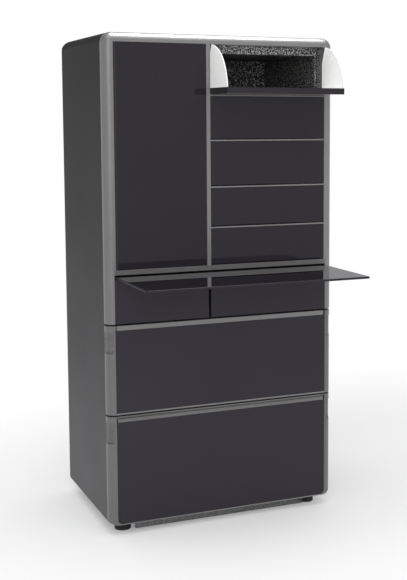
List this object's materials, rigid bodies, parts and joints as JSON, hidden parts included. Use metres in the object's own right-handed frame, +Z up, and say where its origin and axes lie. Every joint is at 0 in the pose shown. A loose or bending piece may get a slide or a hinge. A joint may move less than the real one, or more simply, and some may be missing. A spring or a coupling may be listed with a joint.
{
  "type": "refrigerator",
  "caption": "Free-standing refrigerator with a glass-fronted door, drop flaps, a pull-out glass shelf and drawers below",
  "frame": {"origin": "on the floor, under the middle of the outline with the shelf out", "axes": "+X to the right seen from the front, +Y to the back, +Z up"},
  "size_m": [0.884, 0.937, 1.788],
  "materials": {
    "dark_enamel": "satin dark grey enamel on steel sheet",
    "frame_paint": "satin mid grey powder coat",
    "rear_steel": "matt grey coated steel",
    "face_steel": "matt black steel",
    "foam": "cut rigid foam",
    "liner_white": "vacuum-formed, fine matt",
    "liner_grey": "vacuum-formed, fine matt",
    "shelf_glass": "clear toughened glass",
    "lamp": "opal diffuser",
    "slide_steel": "zinc plated",
    "black_grille": "moulded, fine grain",
    "foot_rubber": "matt",
    "black_enamel": "black oven enamel",
    "copper": "bare copper tube and fins",
    "fan_plastic": "moulded",
    "coil_aluminium": "bare",
    "dark_glass": "back-painted glass, polished",
    "door_body": "dark moulded",
    "gasket": "soft extrusion",
    "tray_white": "white moulded, fine grain",
    "basket": "translucent white",
    "flap_front": "back-painted glass, polished",
    "counter_glass": "grey-tinted mirror glass, polished edges"
  },
  "bodies": {
    "cabinet": {"cabinet_shell": "dark_enamel", "back_panel": "rear_steel", "face_plate": "face_steel", "insulation": "foam", "front_frame": "frame_paint", "door_liner": "liner_white", "column_liner": "liner_grey", "bin_dividers": "frame_paint", "small_drawer_liner": "liner_white", "vegetable_liner": "liner_white", "freezer_liner": "liner_white", "glass_shelves": "shelf_glass", "light_strip": "lamp", "door_hinge_pins": "slide_steel", "counter_guides": "slide_steel", "outer_slides": "slide_steel", "kick_plate": "black_grille", "feet": "foot_rubber", "base_tray": "rear_steel", "compressor": "black_enamel", "condenser": "copper", "condenser_fan_housing": "fan_plastic", "compressor_cover": "rear_steel", "evaporator": "coil_aluminium", "evaporator_cover": "liner_white", "evaporator_fan_housing": "liner_white"},
    "door": {"door_glass": "dark_glass", "door_panel": "door_body", "door_gasket": "gasket", "door_racks": "tray_white"},
    "flap_1": {"flap_1_front": "flap_front", "flap_1_tray": "tray_white"},
    "flap_2": {"flap_2_front": "flap_front", "flap_2_tray": "tray_white"},
    "flap_3": {"flap_3_front": "flap_front", "flap_3_tray": "tray_white"},
    "flap_4": {"flap_4_front": "flap_front", "flap_4_tray": "tray_white"},
    "flap_5": {"flap_5_front": "flap_front", "flap_5_tray": "tray_white"},
    "pull_out_shelf": {"counter_glass": "counter_glass", "counter_carriage": "slide_steel"},
    "small_drawer_left": {"small_left_front": "dark_glass", "small_left_tray": "tray_white"},
    "small_drawer_right": {"small_right_front": "dark_glass", "small_right_tray": "tray_white"},
    "vegetable_drawer": {"vegetable_front": "frame_paint", "vegetable_glass": "dark_glass", "vegetable_gasket": "gasket", "vegetable_carrier": "slide_steel", "vegetable_basket": "basket"},
    "vegetable_middle": {"vegetable_middle_slides": "slide_steel"},
    "freezer_drawer": {"freezer_front": "frame_paint", "freezer_glass": "dark_glass", "freezer_gasket": "gasket", "freezer_carrier": "slide_steel", "freezer_basket": "basket"},
    "freezer_middle": {"freezer_middle_slides": "slide_steel"},
    "evaporator_rotor": {"evaporator_fan": "fan_plastic"},
    "condenser_rotor": {"condenser_fan": "fan_plastic"}
  },
  "joints": [
    {"name": "door_swing", "type": "hinge", "parent": "cabinet", "child": "door", "pos_m": [-0.3966, -0.1035, 1.3588], "axis": [0, 0, -1], "range_deg": [0, 90]},
    {"name": "flap_1_drop", "type": "hinge", "parent": "cabinet", "child": "flap_1", "pos_m": [0.1779, -0.105, 1.5841], "axis": [1, 0, 0], "range_deg": [-90, 0]},
    {"name": "flap_2_drop", "type": "hinge", "parent": "cabinet", "child": "flap_2", "pos_m": [0.1779, -0.105, 1.423], "axis": [1, 0, 0], "range_deg": [0, 90]},
    {"name": "flap_3_drop", "type": "hinge", "parent": "cabinet", "child": "flap_3", "pos_m": [0.1779, -0.105, 1.2554], "axis": [1, 0, 0], "range_deg": [0, 90]},
    {"name": "flap_4_drop", "type": "hinge", "parent": "cabinet", "child": "flap_4", "pos_m": [0.1779, -0.105, 1.109], "axis": [1, 0, 0], "range_deg": [0, 90]},
    {"name": "flap_5_drop", "type": "hinge", "parent": "cabinet", "child": "flap_5", "pos_m": [0.1779, -0.105, 0.9696], "axis": [1, 0, 0], "range_deg": [0, 90]},
    {"name": "shelf_slide", "type": "slide", "parent": "cabinet", "child": "pull_out_shelf", "axis": [0, -1, 0], "range_m": [-0.357, 0]},
    {"name": "small_left_slide", "type": "slide", "parent": "cabinet", "child": "small_drawer_left", "axis": [0, -1, 0], "range_m": [0, 0.3]},
    {"name": "small_right_slide", "type": "slide", "parent": "cabinet", "child": "small_drawer_right", "axis": [0, -1, 0], "range_m": [0, 0.3]},
    {"name": "vegetable_slide", "type": "slide", "parent": "cabinet", "child": "vegetable_drawer", "axis": [0, -1, 0], "range_m": [0, 0.33]},
    {"name": "vegetable_middle_slide", "type": "slide", "parent": "cabinet", "child": "vegetable_middle", "axis": [0, -1, 0], "range_m": [0, 0.165]},
    {"name": "freezer_slide", "type": "slide", "parent": "cabinet", "child": "freezer_drawer", "axis": [0, -1, 0], "range_m": [0, 0.29]},
    {"name": "freezer_middle_slide", "type": "slide", "parent": "cabinet", "child": "freezer_middle", "axis": [0, -1, 0], "range_m": [0, 0.145]},
    {"name": "evaporator_fan_spin", "type": "hinge", "parent": "cabinet", "child": "evaporator_rotor", "pos_m": [0, 0.3785, 0.56], "axis": [0, 1, 0], "continuous": true},
    {"name": "condenser_fan_spin", "type": "hinge", "parent": "cabinet", "child": "condenser_rotor", "pos_m": [-0.12, 0.3765, 0.115], "axis": [1, 0, 0], "continuous": true}
  ],
  "couplings": [
    {"joint": "vegetable_middle_slide", "follows": "vegetable_slide", "ratio": 0.5},
    {"joint": "freezer_middle_slide", "follows": "freezer_slide", "ratio": 0.5}
  ]
}
